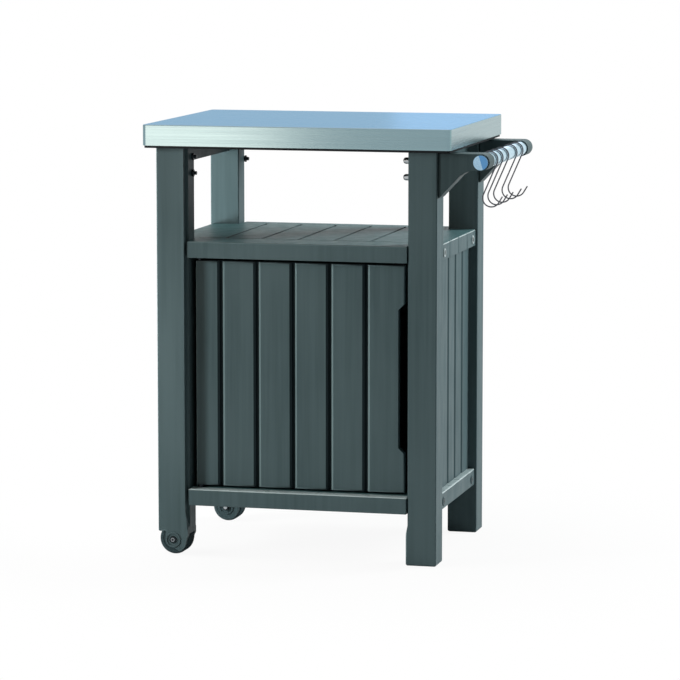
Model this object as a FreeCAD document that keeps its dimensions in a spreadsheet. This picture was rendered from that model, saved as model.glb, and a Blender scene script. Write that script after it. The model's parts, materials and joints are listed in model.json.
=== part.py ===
# Grill cart with storage: a metal worktop on four legs, a deck, a cabinet with one door below it,
# a side rail with hooks and two wheels. Millimetres; X to the rail, Y to the back, Z up. The origin
# is on the floor, under the middle of the whole cart.
import math
import os

import FreeCAD
import Part
import Sketcher

doc = FreeCAD.newDocument("GrillCart")
sheet = doc.addObject("Spreadsheet::Sheet", "Sizes")

# Every driving size, in millimetres unless it is an angle or a count
SIZES = {
    # Worktop
    "tray_length": 650, "tray_depth": 520, "tray_top": 900, "tray_skirt": 43,
    "tray_sheet": 0.8, "tray_corner": 9, "tray_edge": 2,
    "core_setback": 3, "core_lip": 5, "core_wall": 6, "core_plate": 6, "tenon_reach": 72,
    # Legs, as the worktop's overhang leaves them
    "overhang_left": 24, "overhang_right": 32, "overhang_front": 20, "overhang_rear": 34,
    "leg_width": 64, "leg_depth": 62, "leg_wall": 4, "leg_edge": 2.5,
    "rebate_width": 5.5, "rebate_depth": 18, "rebate_foot": 58, "rebate_full": 96,
    "foot_floor": 6, "foot_edge": 4.5, "housing_edge": 4, "lug_reach": 45, "lug_drop": 26,
    # Wheels and the legs' wheel housings
    "wheel_radius": 32.5, "wheel_width": 36, "wheel_shoulder": 4, "wheel_side_gap": 1,
    "wheel_room": 1.5, "wheel_dish_radius": 26, "wheel_hub_radius": 12, "wheel_dish": 2,
    "housing_lift": 49, "boss_radius": 16, "boss_ring": 3, "boss_proud": 2,
    "cheek_round": 28.5,
    "axle_radius": 4, "axle_head_radius": 7.5, "axle_head": 3.5, "axle_nut_radius": 7,
    # Deck and base, two mouldings of one plan
    "deck_top": 658.5, "deck_height": 34, "base_top": 140.5, "base_height": 35,
    "panel_setback": 5, "plate": 5, "skirt": 5, "panel_edge": 3, "channel_rib": 3,
    "deck_border": 92, "deck_back_border": 40, "deck_groove_place": 97.6,
    "deck_groove_depth": 3, "deck_groove_mouth": 7, "deck_groove_floor": 5,
    "deck_line_width": 4, "deck_line_depth": 1.5,
    # Boards moulded into the panels
    "board_pitch": 77.4, "side_board_pitch": 68.4, "apron_board_pitch": 85.5,
    "groove_mouth": 16, "groove_slot": 7, "groove_bevel": 3, "wall_groove_depth": 7,
    "door_groove_depth": 9, "apron_groove_mouth": 6, "apron_groove_slot": 2,
    "apron_groove_bevel": 1, "apron_groove_depth": 1.5,
    # Cabinet walls
    "wall_sheet": 10, "side_wall_setback": 19, "back_wall_setback": 25, "tongue": 4,
    # Door
    "door_setback": 25, "door_sheet": 18, "door_gap_left": 11, "door_gap_right": 9.5,
    "door_gap_top": 8, "door_gap_bottom": 5.5, "door_edge": 3, "door_frame": 24,
    "door_recess": 5, "door_groove_place": 91.1, "pivot_inset": 7, "pivot_depth": 8,
    "pin_radius": 4, "pin_hold": 28, "pin_reach": 16, "pin_collar_radius": 7,
    "pivot_boss_radius": 9, "notch_depth": 13.5, "notch_low": 226, "notch_high": 539,
    "catch_length": 24, "catch_depth": 14, "catch_drop": 54, "catch_gap": 0.5,
    # Side rail, its brackets and hooks
    "rail_reach": 90, "rail_radius": 15, "rail_wall": 1.5, "rail_inset_front": 20,
    "rail_inset_rear": 33, "eye_wall": 2, "bracket_gap": 2, "bracket_length": 53,
    "bracket_height": 92, "bracket_inset": 5, "bracket_edge": 2, "neck": 2, "gusset": 55,
    "gusset_round": 12, "cap_proud": 5, "cap_plug": 14, "cap_slope": 7, "cap_ridge_angle": 40,
    "hook_wire": 1.4, "hook_gap": 0.3, "hook_bend_radius": 18, "hook_bend_out": 3.5,
    "hook_bend_drop": 79, "hook_tip": 15, "hook_tip_angle": 59, "hook_end": 5,
    "hook_1_place": 110, "hook_2_place": 163, "hook_3_place": 222, "hook_4_place": 310,
    "hook_5_place": 375,
    # Rails under the worktop
    "upper_rail_width": 20, "upper_rail_height": 35, "mortise": 3.5,
    # Fasteners and fits
    "bolt_radius": 4, "bolt_nut_radius": 7, "bolt_nut": 4, "bolt_end": 6,
    "cap_nut": 17, "bolt_from_front": 47, "bolt_drop_upper": 21, "bolt_drop_lower": 55, "bolt_bite": 32,
    "screw_radius": 2.5, "screw_head_radius": 5.5, "screw_head": 2.5, "screw_place": 30,
    "screw_drop": 19, "screw_bite": 8, "screw_ring_radius": 9, "screw_ring": 2,
    "running_fit": 0.05, "slip_fit": 0.3,
}
HOOK_COUNT = 5
CHEEK_STEP = 10
DOOR_GROOVES = 5
DECK_GROOVES = 5
SIDE_GROOVES = 4
APRON_GROOVES = 3

for row, (alias, number) in enumerate(SIZES.items(), start=1):
    sheet.set(f"A{row}", str(number))
    sheet.setAlias(f"A{row}", alias)
doc.recompute()


class Size:
    """A length together with the expression that gives it from the sheet's cells."""

    def __init__(self, number, words):
        self.number = number
        self.words = words

    def __add__(self, other):
        other = sized(other)
        return Size(self.number + other.number, f"({self.words} + {other.words})")

    def __sub__(self, other):
        other = sized(other)
        return Size(self.number - other.number, f"({self.words} - {other.words})")

    def __mul__(self, factor):
        factor = sized(factor)
        return Size(self.number * factor.number, f"({self.words} * {factor.words})")

    def __truediv__(self, factor):
        return Size(self.number / factor, f"({self.words} / {factor})")

    def __neg__(self):
        return self * -1

    __radd__ = __add__


def sine(angle):
    """The sine of an angle kept in the sheet in degrees."""
    return Size(math.sin(math.radians(angle.number)), f"sin({angle.words} * 1 deg)")


def cosine(angle):
    """The cosine of an angle kept in the sheet in degrees."""
    return Size(math.cos(math.radians(angle.number)), f"cos({angle.words} * 1 deg)")


def sized(value):
    """Let a plain number stand where a size is expected."""
    if isinstance(value, Size):
        return value
    return Size(value, str(value))


def cell(alias):
    """Read one size from the sheet."""
    return Size(float(sheet.get(alias)), "Sizes." + alias)


def step(start, towards, distance):
    """Move from one place a distance towards another."""
    if sized(towards).number > sized(start).number:
        return start + distance
    return start - distance


def bind(thing, name, size):
    """Tie one property of an object to the sheet."""
    thing.setExpression(name, sized(size).words)


TURNS = {
    "x": FreeCAD.Rotation(FreeCAD.Vector(0, 1, 0), 90),
    "y": FreeCAD.Rotation(FreeCAD.Vector(1, 0, 0), -90),
    "z": FreeCAD.Rotation(),
}


def put(thing, x=0, y=0, z=0):
    """Tie an object's position to the sheet."""
    for name, size in zip("xyz", (x, y, z)):
        bind(thing, f"Placement.Base.{name}", size)


def block(name, xs, ys, zs):
    """Make a block between two places along each axis, named in either order."""
    thing = doc.addObject("Part::Box", name)
    lows = []
    for side, ends in zip(("Length", "Width", "Height"), (xs, ys, zs)):
        low, high = sorted(map(sized, ends), key=lambda end: end.number)
        bind(thing, side, high - low)
        lows.append(low)
    put(thing, *lows)
    return thing


def rod(name, radius, axis, start, length):
    """Make a cylinder that runs from a point along one axis."""
    thing = doc.addObject("Part::Cylinder", name)
    bind(thing, "Radius", radius)
    bind(thing, "Height", length)
    thing.Placement = FreeCAD.Placement(FreeCAD.Vector(), TURNS[axis])
    put(thing, *start)
    return thing


def fuse(name, *shapes):
    """Join shapes, or hold separate ones as one group."""
    thing = doc.addObject("Part::MultiFuse", name)
    thing.Shapes = list(shapes)
    return thing


def cut(name, base, *tools):
    """Take shapes away from another."""
    thing = doc.addObject("Part::Cut", name)
    thing.Base = base
    thing.Tool = tools[0] if len(tools) == 1 else fuse(name + "_tools", *tools)
    return thing


def new_sketch(body, name, role):
    """Start a sketch on one of a body's own planes."""
    sketch = body.newObject("Sketcher::SketchObject", name)
    plane = [item for item in body.Origin.OriginFeatures if item.Role == role][0]
    sketch.AttachmentSupport = [(plane, "")]
    sketch.MapMode = "FlatFace"
    return sketch


def fix_point(sketch, edge, end, across, up):
    """Tie a sketch point to the sheet, measured from the sketch's origin."""
    for kind, size in (("DistanceX", across), ("DistanceY", up)):
        rule = Sketcher.Constraint(kind, -1, 1, edge, end, sized(size).number)
        number = sketch.addConstraint(rule)
        sketch.setExpression(f"Constraints[{number}]", sized(size).words)


def outline(body, name, role, corners):
    """Sketch a closed outline through corners given as pairs of sizes."""
    sketch = new_sketch(body, name, role)
    points = [FreeCAD.Vector(sized(a).number, sized(b).number, 0) for a, b in corners]
    count = len(points)
    for index in range(count):
        sketch.addGeometry(Part.LineSegment(points[index], points[(index + 1) % count]))
    for index, (across, up) in enumerate(corners):
        after = (index + 1) % count
        sketch.addConstraint(Sketcher.Constraint("Coincident", index, 2, after, 1))
        fix_point(sketch, index, 1, across, up)
    return sketch


def prism(name, role, corners, start, end):
    """Pad an outline drawn on one plane between two places along that plane's normal."""
    body = doc.addObject("PartDesign::Body", name)
    sketch = outline(body, name + "_outline", role, corners)
    pad = body.newObject("PartDesign::Pad", name + "_pad")
    pad.Profile = sketch
    low, high = sorted(map(sized, (start, end)), key=lambda place: place.number)
    bind(pad, "Length", high - low)
    if role == "XY_Plane":
        put(body, z=low)
    elif role == "YZ_Plane":
        put(body, x=low)
    else:
        put(body, y=high)
    return body


def slab(name, xs, ys, zs):
    """Make a block as a body, so that its edges can be rounded."""
    left, right = sorted(map(sized, xs), key=lambda place: place.number)
    front, back = sorted(map(sized, ys), key=lambda place: place.number)
    corners = ((left, front), (right, front), (right, back), (left, back))
    return prism(name, "XY_Plane", corners, *zs)


def soften(body, radius, wanted):
    """Round the edges of a body that a test picks out of its present shape."""
    doc.recompute()
    last = body.Tip
    box = last.Shape.BoundBox
    names = [f"Edge{index}" for index, edge in enumerate(last.Shape.Edges, start=1) if wanted(edge, box)]
    fillet = body.newObject("PartDesign::Fillet", f"{body.Name}_round_{len(body.Group)}")
    fillet.Base = (last, names)
    bind(fillet, "Radius", radius)


def upright(edge, box):
    """Pick the edges that run up and down."""
    return edge.BoundBox.XLength + edge.BoundBox.YLength < 0.01


def along_y(edge):
    """Tell whether an edge runs from front to back."""
    return edge.BoundBox.XLength + edge.BoundBox.ZLength < 0.01


def at_top(edge, box):
    """Pick the edges of the top face."""
    return edge.BoundBox.ZMin > box.ZMax - 0.01


def at_bottom(edge, box):
    """Pick the edges of the bottom face."""
    return edge.BoundBox.ZMax < box.ZMin + 0.01


def at_front(edge, box):
    """Pick the edges of the front face."""
    return edge.BoundBox.YMax < box.YMin + 0.01


def turned(name, profile):
    """Turn a closed outline of radius and height pairs about the body's Y axis."""
    body = doc.addObject("PartDesign::Body", name)
    sketch = outline(body, name + "_outline", "XY_Plane", profile)
    turn = body.newObject("PartDesign::Revolution", name + "_turn")
    turn.Profile = sketch
    turn.ReferenceAxis = (sketch, ["V_Axis"])
    turn.Angle = 360
    return body


def named(thing, label):
    """Give a finished sub-part its label and put it on the list."""
    thing.Label = label
    sub_parts.append(thing)
    return thing


sub_parts = []

# Places that several pieces share, from the whole cart's middle
tray_top = cell("tray_top")
tray_under = tray_top - cell("tray_sheet")
leg_top = tray_top - cell("tray_skirt") - cell("core_lip")
fit = cell("running_fit")
slip = cell("slip_fit")
hook_radius = cell("rail_radius") + cell("hook_gap") + cell("hook_wire")
tip_angle = cell("hook_tip_angle")
hook_out = (cell("hook_bend_out") + (cell("hook_bend_radius") + cell("hook_wire")) * sine(tip_angle)
            + cell("hook_tip") * cosine(tip_angle))
cart_right = cell("tray_length") / 2 - cell("overhang_right") + cell("rail_reach") + hook_out
middle = (cell("tray_length") / 2 - cart_right) / 2

tray_left = middle - cell("tray_length") / 2
tray_right = middle + cell("tray_length") / 2
tray_front = -cell("tray_depth") / 2
tray_back = cell("tray_depth") / 2
legs_left = tray_left + cell("overhang_left")
legs_right = tray_right - cell("overhang_right")
legs_front = tray_front + cell("overhang_front")
legs_back = tray_back - cell("overhang_rear")
bay_left = legs_left + cell("leg_width")
bay_right = legs_right - cell("leg_width")
bay_front = legs_front + cell("leg_depth")
bay_back = legs_back - cell("leg_depth")

panel_left = legs_left + cell("panel_setback")
panel_right = legs_right - cell("panel_setback")
panel_front = legs_front + cell("panel_setback")
panel_back = legs_back - cell("panel_setback")
deck_top = cell("deck_top")
deck_under = deck_top - cell("plate")
deck_bottom = deck_top - cell("deck_height")
base_top = cell("base_top")
base_under = base_top - cell("plate")
base_bottom = base_top - cell("base_height")

side_wall_left = legs_left + cell("side_wall_setback")
side_wall_right = legs_right - cell("side_wall_setback")
back_wall = panel_back - cell("back_wall_setback")
door_front = panel_front + cell("door_setback")
door_back = door_front + cell("door_sheet")
door_left = bay_left + cell("door_gap_left")
door_right = bay_right - cell("door_gap_right")
door_bottom = base_top + cell("door_gap_bottom")
door_top = deck_bottom - cell("door_gap_top")
pivot_x = door_left + cell("pivot_inset")
pivot_y = door_front + cell("pivot_depth")

rail_x = legs_right + cell("rail_reach")
eye = cell("rail_radius") + cell("eye_wall")
rail_z = leg_top - cell("bracket_gap") - eye
rail_front = tray_front + cell("rail_inset_front")
rail_back = tray_back - cell("rail_inset_rear")
axle_x = legs_left + cell("leg_width") / 2
axle_z = cell("wheel_radius")
housing_half = cell("wheel_width") / 2 + cell("wheel_side_gap")

# Each leg: its outer and inner faces, the face it shows the front or back, and its other face
LEGS = {
    "leg_front_left": (legs_left, bay_left, legs_front, bay_front),
    "leg_rear_left": (legs_left, bay_left, legs_back, bay_back),
    "leg_front_right": (legs_right, bay_right, legs_front, bay_front),
    "leg_rear_right": (legs_right, bay_right, legs_back, bay_back),
}


def leg_middle(face, other):
    """The middle of a leg's depth."""
    return (face + other) / 2


def hollow(name, leg, room, bottom, top):
    """Fill the space inside a leg between two heights, less some room to its walls."""
    outer, inner, face, other = leg
    gap = cell("leg_wall") + room
    space = block(name + "_space", (step(outer, inner, gap), step(inner, outer, gap)),
                  (step(face, other, gap), step(other, face, gap)), (bottom, top))
    corner_x = step(inner, outer, gap + cell("rebate_width"))
    corner_y = step(face, other, gap + cell("rebate_depth"))
    post = block(name + "_post", (corner_x, inner), (corner_y, face), (bottom - 1, top + 1))
    return cut(name, space, post)


def rebate(name, leg):
    """The strip cut out of a leg's inner edge, which runs out in a soft slope above the foot."""
    outer, inner, face, other = leg
    width = cell("rebate_width")
    slope = cell("rebate_full") - cell("rebate_foot")
    past = step(inner, outer, -1)
    corners = [(past, leg_top + 1), (step(inner, outer, width), leg_top + 1)]
    for share, height in ((1, 1), (0.88, 0.78), (0.5, 0.5), (0.12, 0.22), (0, 0)):
        corners.append((step(inner, outer, width * share), cell("rebate_foot") + slope * height))
    corners.append((past, cell("rebate_foot")))
    return prism(name, "XZ_Plane", corners, step(face, other, -1),
                 step(face, other, cell("rebate_depth")))


def lug(name, leg, top, room=0):
    """The ear on a leg that carries a shelf's plate and takes its screw."""
    outer, inner, face, other = leg
    near = cell("panel_setback") + cell("skirt") - room
    far = cell("side_wall_setback") - slip + room
    end = step(other, face, -cell("lug_reach") - room)
    start = step(other, face, cell("leg_wall") / 2)
    return block(name, (step(outer, inner, near), step(outer, inner, far)), (start, end),
                 (top - cell("lug_drop") - room, top))


def screw_spot(leg):
    """The place along Y of the screws beside a leg."""
    outer, inner, face, other = leg
    return step(other, face, -cell("screw_place"))


def screw_hole(name, leg, top):
    """The hole of a shelf screw, through a skirt's ring and into the leg's lug."""
    outer, inner, face, other = leg
    length = cell("panel_setback") + cell("skirt") + cell("screw_bite")
    start = outer if outer.number < inner.number else outer - length
    return rod(name, cell("screw_radius") + fit, "x",
               (start, screw_spot(leg), top - cell("screw_drop") + cell("plate")), length)


def bolt_heights():
    """The heights of the two bolts at each leg's top."""
    return (leg_top - cell("bolt_drop_upper"), leg_top - cell("bolt_drop_lower"))


def bolt_place(leg):
    """The place along Y of the bolts at a leg's top."""
    outer, inner, face, other = leg
    front = face if face.number < other.number else other
    return front + cell("bolt_from_front")


def bolt_holes(name, leg):
    """The holes of a leg's two bolts, from its inner face outwards."""
    outer, inner, face, other = leg
    to_bracket = outer.number > inner.number
    length = cell("leg_width") + cell("bolt_bite") if to_bracket else cell("bolt_bite")
    start = inner if to_bracket else inner - length
    radius = cell("bolt_radius") + fit
    rods = [rod(f"{name}_{index}", radius, "x", (start, bolt_place(leg), height), length)
            for index, height in enumerate(bolt_heights())]
    return fuse(name, *rods)


def wheel_slot(name, leg):
    """The room a wheel turns in, open below and on the cart's outer side."""
    outer, inner, face, other = leg
    centre = leg_middle(face, other)
    room = rod(name + "_round", cell("wheel_radius") + cell("wheel_room"), "y",
               (axle_x, centre - housing_half, axle_z), housing_half * 2)
    side = block(name + "_side", (outer - 1, axle_x),
                 (centre - housing_half, centre + housing_half), (-1, cell("housing_lift")))
    return fuse(name, room, side)


def wheel_cheeks(name, leg):
    """The two cheeks below a wheeled leg, which carry the axle in round bosses."""
    outer, inner, face, other = leg
    front, back = sorted((face, other), key=lambda place: place.number)
    boss = cell("boss_radius")
    top = cell("housing_lift") + cell("housing_edge") + 1
    curve = [(axle_x + cell("cheek_round") * math.cos(math.radians(turn)),
              axle_z + cell("cheek_round") * math.sin(math.radians(turn)))
             for turn in range(-60, 1, CHEEK_STEP)]
    corners = (
        (axle_x - boss, top), (axle_x - boss, axle_z), (axle_x, axle_z - boss), *curve,
        (inner, axle_z + boss * 0.5), (inner, top),
    )
    web = prism(name + "_web", "XZ_Plane", corners, front, back)
    proud = cell("boss_proud")
    round_boss = rod(name + "_boss", boss, "y", (axle_x, front - proud, axle_z),
                     cell("leg_depth") + proud * 2)
    return fuse(name, web, round_boss)


def wheel_bore(name, leg):
    """The axle's hole and the sunk faces inside the bosses' rings."""
    outer, inner, face, other = leg
    front, back = sorted((face, other), key=lambda place: place.number)
    proud = cell("boss_proud")
    reach = cell("leg_depth") + proud * 2
    hole = rod(name + "_hole", cell("axle_radius") + fit, "y", (axle_x, front - proud, axle_z), reach)
    sunk = cell("boss_radius") - cell("boss_ring")
    near = rod(name + "_near", sunk, "y", (axle_x, front - proud, axle_z), proud)
    far = rod(name + "_far", sunk, "y", (axle_x, back, axle_z), proud)
    return fuse(name, hole, near, far)


def upper_rail_x(leg):
    """The middle of a leg's width, where the rail under the worktop meets it."""
    outer, inner, face, other = leg
    return (outer + inner) / 2


def upper_rail_mortise(name, leg):
    """The pocket in a leg that takes the end of the rail under the worktop."""
    outer, inner, face, other = leg
    half = cell("upper_rail_width") / 2 + slip / 2
    return block(name, (upper_rail_x(leg) - half, upper_rail_x(leg) + half),
                 (step(other, face, -1), step(other, face, cell("mortise"))),
                 (leg_top - cell("upper_rail_height") - slip / 2, leg_top + 1))


def make_leg(name, leg):
    """A hollow leg, with lugs for the two shelves, and a wheel housing on the left."""
    outer, inner, face, other = leg
    wheeled = outer.number < inner.number
    foot = cell("housing_lift") if wheeled else sized(0)
    post = slab(name + "_post", (outer, inner), (face, other), (foot, leg_top))
    soften(post, cell("housing_edge") if wheeled else cell("foot_edge"), at_bottom)
    soften(post, cell("leg_edge"), upright)
    floor = axle_z * 2 + cell("wheel_room") + cell("foot_floor") if wheeled else cell("foot_floor")
    lugs = [lug(f"{name}_lug_{index}", leg, top) for index, top in enumerate((deck_under, base_under))]
    cuts = [
        hollow(name + "_hollow", leg, sized(0), floor, leg_top + 1),
        rebate(name + "_rebate", leg),
        bolt_holes(name + "_bolt_holes", leg),
        upper_rail_mortise(name + "_mortise", leg),
        screw_hole(name + "_deck_screw_hole", leg, deck_under),
        screw_hole(name + "_base_screw_hole", leg, base_under),
    ]
    if wheeled:
        solid = fuse(name + "_solid", post, wheel_cheeks(name + "_cheeks", leg), *lugs)
        cuts += [wheel_slot(name + "_slot", leg), wheel_bore(name + "_bore", leg)]
    else:
        solid = fuse(name + "_solid", post, *lugs)
    return named(cut(name, solid, *cuts), name)


def make_tray():
    """The sheet-metal worktop, folded down on all sides."""
    shell = slab("tray_shell", (tray_left, tray_right), (tray_front, tray_back),
                 (tray_top - cell("tray_skirt"), tray_top))
    soften(shell, cell("tray_corner"), upright)
    soften(shell, cell("tray_edge"), at_top)
    sheet_gap = cell("tray_sheet")
    inside = slab("tray_inside", (tray_left + sheet_gap, tray_right - sheet_gap),
                  (tray_front + sheet_gap, tray_back - sheet_gap),
                  (tray_top - cell("tray_skirt") - 1, tray_under))
    soften(inside, cell("tray_corner") - sheet_gap, upright)
    named(cut("worktop_tray", shell, inside), "worktop_tray")


def make_core():
    """The ribbed panel inside the tray, with a plug that goes down into each leg."""
    gap = cell("core_setback")
    wall = cell("core_wall")
    left, right = tray_left + gap, tray_right - gap
    front, back = tray_front + gap, tray_back - gap
    rim = slab("core_rim", (left, right), (front, back), (leg_top, tray_under))
    soften(rim, cell("tray_corner") - gap, upright)
    under = tray_under - cell("core_plate")
    space = block("core_space", (left + wall, right - wall), (front + wall, back - wall),
                  (leg_top - 1, under))
    shell = cut("core_shell", rim, space)
    pieces = [shell]
    holes = []
    for name, leg in LEGS.items():
        outer, inner, face, other = leg
        pieces.append(block("core_pad_" + name, (outer, inner), (face, other), (leg_top, under + 1)))
        pieces.append(hollow("core_plug_" + name, leg, slip, leg_top - cell("tenon_reach"), leg_top + 1))
        holes.append(bolt_holes("core_holes_" + name, leg))
    for index, x in enumerate((axle_x, legs_right - cell("leg_width") / 2)):
        pieces.append(block(f"core_long_rib_{index}", (x - wall / 2, x + wall / 2), (front, back),
                            (leg_top, under + 1)))
    for index, y in enumerate((leg_middle(legs_front, bay_front), leg_middle(legs_back, bay_back))):
        pieces.append(block(f"core_cross_rib_{index}", (left, right), (y - wall / 2, y + wall / 2),
                            (leg_top, under + 1)))
    named(cut("worktop_core", fuse("core_solid", *pieces), *holes), "worktop_core")


def make_upper_rail(name, front_leg):
    """A rail between a front and a rear leg, close under the worktop."""
    half = cell("upper_rail_width") / 2
    centre = upper_rail_x(front_leg)
    bar = slab(name + "_bar", (centre - half, centre + half),
               (bay_front - cell("mortise"), bay_back + cell("mortise")),
               (leg_top - cell("upper_rail_height"), leg_top))
    named(bar, name)


def shelf_plan():
    """The corners of the deck and the base: a rectangle with a notch for each leg."""
    return (
        (bay_left, panel_front), (bay_right, panel_front), (bay_right, bay_front),
        (panel_right, bay_front), (panel_right, bay_back), (bay_right, bay_back),
        (bay_right, panel_back), (bay_left, panel_back), (bay_left, bay_back),
        (panel_left, bay_back), (panel_left, bay_front), (bay_left, bay_front),
    )


def groove_across(name, x, start, end, top):
    """A board groove that runs from front to back in a level top."""
    mouth, floor = cell("deck_groove_mouth") / 2, cell("deck_groove_floor") / 2
    depth = cell("deck_groove_depth")
    corners = ((x - mouth, top + 1), (x - mouth, top), (x - floor, top - depth),
               (x + floor, top - depth), (x + mouth, top), (x + mouth, top + 1))
    return prism(name, "XZ_Plane", corners, start, end)


def groove_sizes(kind):
    """The mouth, slot and bevel of a board groove, and the depth for its kind of panel."""
    if kind == "apron":
        return [cell("apron_groove_" + part) for part in ("mouth", "slot", "bevel", "depth")]
    return [cell("groove_" + part) for part in ("mouth", "slot", "bevel")] + [cell(kind + "_groove_depth")]


def groove_upright(name, kind, role, place, face, inwards, bottom, top):
    """A board groove that runs up a wall: a bevel on each side, and a straight slot between."""
    mouth, slot, bevel, depth = groove_sizes(kind)
    past, shallow, deep = face - inwards, face + bevel * inwards, face + depth * inwards
    section = ((-mouth / 2, past), (-mouth / 2, face), (-slot / 2, shallow), (-slot / 2, deep),
               (slot / 2, deep), (slot / 2, shallow), (mouth / 2, face), (mouth / 2, past))
    if role == "front":
        corners = [(place + across, into) for across, into in section]
    else:
        corners = [(into, place + across) for across, into in section]
    return prism(name, "XY_Plane", corners, bottom, top)


def screw_ring(name, leg, top):
    """The raised ring round a shelf screw."""
    outer, inner, face, other = leg
    skin = step(outer, inner, cell("panel_setback"))
    start = skin - cell("screw_ring") if outer.number < inner.number else skin
    height = top - cell("screw_drop") + cell("plate")
    return rod(name, cell("screw_ring_radius"), "x", (start, screw_spot(leg), height), cell("screw_ring"))


def screw_seat(name, leg, top):
    """The sunk face inside a screw's ring, where its head sits."""
    outer, inner, face, other = leg
    skin = step(outer, inner, cell("panel_setback"))
    start = skin - cell("screw_ring") if outer.number < inner.number else skin
    height = top - cell("screw_drop") + cell("plate")
    radius = cell("screw_head_radius") + slip * 2
    return rod(name, radius, "x", (start, screw_spot(leg), height), cell("screw_ring"))


def make_shelf(name, bottom, top, extras, cuts):
    """One moulded panel with skirts: the deck or the base."""
    plan = prism(name + "_plan", "XY_Plane", shelf_plan(), bottom, top)
    soften(plan, cell("panel_edge"), at_top)
    under = top - cell("plate")
    skirt = cell("skirt")
    hollows = (
        block(name + "_space_long", (bay_left + skirt, bay_right - skirt),
              (panel_front + skirt, panel_back - skirt), (bottom - 1, under)),
        block(name + "_space_wide", (panel_left + skirt, panel_right - skirt),
              (bay_front + skirt, bay_back - skirt), (bottom - 1, under)),
    )
    shell = cut(name + "_shell", plan, *hollows)
    pieces = [shell] + list(extras)
    holes = list(cuts)
    for leg_name, leg in LEGS.items():
        tag = f"{name}_{leg_name}"
        pieces.append(screw_ring(tag + "_ring", leg, under))
        holes.append(screw_seat(tag + "_seat", leg, under))
        holes.append(screw_hole(tag + "_hole", leg, under))
        holes.append(lug_room(tag + "_lug", leg, bottom, under))
    named(cut(name, fuse(name + "_solid", *pieces), *holes), name)


def lug_room(name, leg, bottom, under):
    """The way a shelf leaves for a leg's lug below its plate."""
    outer, inner, face, other = leg
    near = cell("panel_setback") + cell("skirt")
    far = cell("side_wall_setback")
    end = step(other, face, -cell("lug_reach") - slip)
    return block(name, (step(outer, inner, near), step(outer, inner, far)), (other, end),
                 (bottom - 1, under))


def channel(name, low, high, along, across_y):
    """Two ribs under the deck that hold the top of a cabinet wall between them."""
    rib = cell("channel_rib")
    drop = cell("deck_height") / 2
    zs = (deck_under - drop, deck_under + 1)
    ribs = []
    for side, (start, end) in enumerate(((low - slip - rib, low - slip), (high + slip, high + slip + rib))):
        xs, ys = ((along, (start, end)) if across_y else ((start, end), along))
        ribs.append(block(f"{name}_{side}", xs, ys, zs))
    return ribs


def make_deck():
    """The deck between the open bay and the cabinet."""
    boss = rod("deck_pivot_boss", cell("pivot_boss_radius"), "z", (pivot_x, pivot_y, deck_bottom),
               cell("deck_height") - cell("plate") / 2)
    skirt = cell("skirt")
    sheet_gap = cell("wall_sheet")
    side_span = (bay_front + skirt / 2, bay_back - skirt / 2)
    ribs = channel("deck_channel_left", side_wall_left, side_wall_left + sheet_gap, side_span, False)
    ribs += channel("deck_channel_right", side_wall_right - sheet_gap, side_wall_right, side_span, False)
    ribs += channel("deck_channel_back", back_wall - sheet_gap, back_wall,
                    (bay_left + skirt / 2, bay_right - skirt / 2), True)
    hole = rod("deck_pivot_hole", cell("pin_radius") + fit, "z", (pivot_x, pivot_y, deck_bottom - 1),
               cell("pin_reach") + 1)
    grooves = []
    for index in range(DECK_GROOVES):
        x = bay_right - cell("deck_groove_place") - cell("board_pitch") * index
        grooves.append(groove_across(f"deck_groove_{index}", x, panel_front + cell("deck_border"),
                                     panel_back - cell("deck_back_border"), deck_top))
    border = panel_front + cell("deck_border")
    grooves.append(block("deck_line", (bay_left, bay_right), (border - cell("deck_line_width"), border),
                         (deck_top - cell("deck_line_depth"), deck_top + 1)))
    for side, face, inwards in (("left", panel_left, 1), ("right", panel_right, -1)):
        for board in range(APRON_GROOVES):
            y = bay_front + cell("apron_board_pitch") * (board + 1)
            grooves.append(groove_upright(f"apron_groove_{side}_{board}", "apron", "side", y, face,
                                          inwards, deck_bottom - 1, deck_top + 1))
    # The cabinet's walls rise past the notches' skirts
    room = wall_blocks("deck_wall_room", deck_bottom - 1, deck_under, slip)
    make_shelf("mid_shelf", deck_bottom, deck_top, [boss] + ribs, [hole, *grooves, *room])


def wall_blocks(name, bottom, top, room=0):
    """The space of the cabinet's three walls between two heights, with some room around."""
    sheet_gap = cell("wall_sheet")
    left = block(name + "_left", (side_wall_left - room, side_wall_left + sheet_gap + room),
                 (bay_front, bay_back), (bottom, top))
    right = block(name + "_right", (side_wall_right - sheet_gap - room, side_wall_right + room),
                  (bay_front, bay_back), (bottom, top))
    back = block(name + "_back", (bay_left, bay_right),
                 (back_wall - sheet_gap - room, back_wall + room), (bottom, top))
    return [left, right, back]


def tongue_blocks(name, room=0):
    """The tongues under the cabinet's walls, or the slots that take them."""
    third = cell("wall_sheet") / 3
    inset = cell("wall_sheet") * 3
    low, high = base_top - cell("tongue") - room, base_top + 1
    left = block(name + "_left", (side_wall_left + third - room, side_wall_left + third * 2 + room),
                 (bay_front + inset - room, bay_back - inset + room), (low, high))
    right = block(name + "_right", (side_wall_right - third * 2 - room, side_wall_right - third + room),
                  (bay_front + inset - room, bay_back - inset + room), (low, high))
    back = block(name + "_back", (bay_left + inset - room, bay_right - inset + room),
                 (back_wall - third * 2 - room, back_wall - third + room), (low, high))
    return [left, right, back]


def make_base():
    """The cabinet's floor."""
    depth = cell("pin_reach") + cell("plate")
    boss = rod("base_pivot_boss", cell("pivot_boss_radius"), "z", (pivot_x, pivot_y, base_top - depth),
               depth - cell("plate") / 2)
    hole = rod("base_pivot_hole", cell("pin_radius") + fit, "z",
               (pivot_x, pivot_y, base_top - cell("pin_reach")), cell("pin_reach") + 1)
    make_shelf("base_shelf", base_bottom, base_top, [boss], [hole, *tongue_blocks("base_slot", slip)])


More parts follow.
